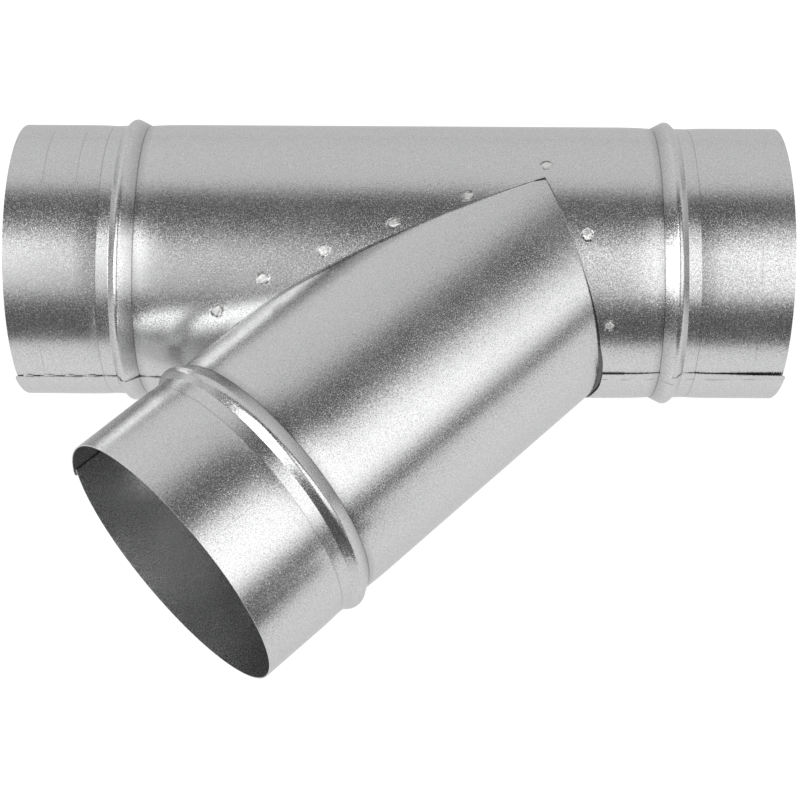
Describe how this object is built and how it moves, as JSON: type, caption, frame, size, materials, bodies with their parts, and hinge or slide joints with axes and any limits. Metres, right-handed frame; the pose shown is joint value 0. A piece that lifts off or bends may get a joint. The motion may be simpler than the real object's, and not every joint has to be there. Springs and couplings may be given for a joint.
{
  "type": "duct y branch",
  "caption": "Galvanised sheet-steel 45 degree Y branch for round ducting: a straight run and an equal angled branch, each mouth a male spigot with a rolled stop bead.",
  "frame": {"origin": "centre of the run's left mouth, the one that the branch points toward", "axes": "+X along the run toward the right mouth, +Z square to the plane of the run and branch axes, the branch points to -X and -Y"},
  "size_m": [0.274, 0.2119, 0.103],
  "materials": {
    "galvanised_steel": "zinc-coated, fine speckle, satin"
  },
  "bodies": {
    "root": {"main_tube": "galvanised_steel", "branch_tube": "galvanised_steel"}
  },
  "joints": []
}
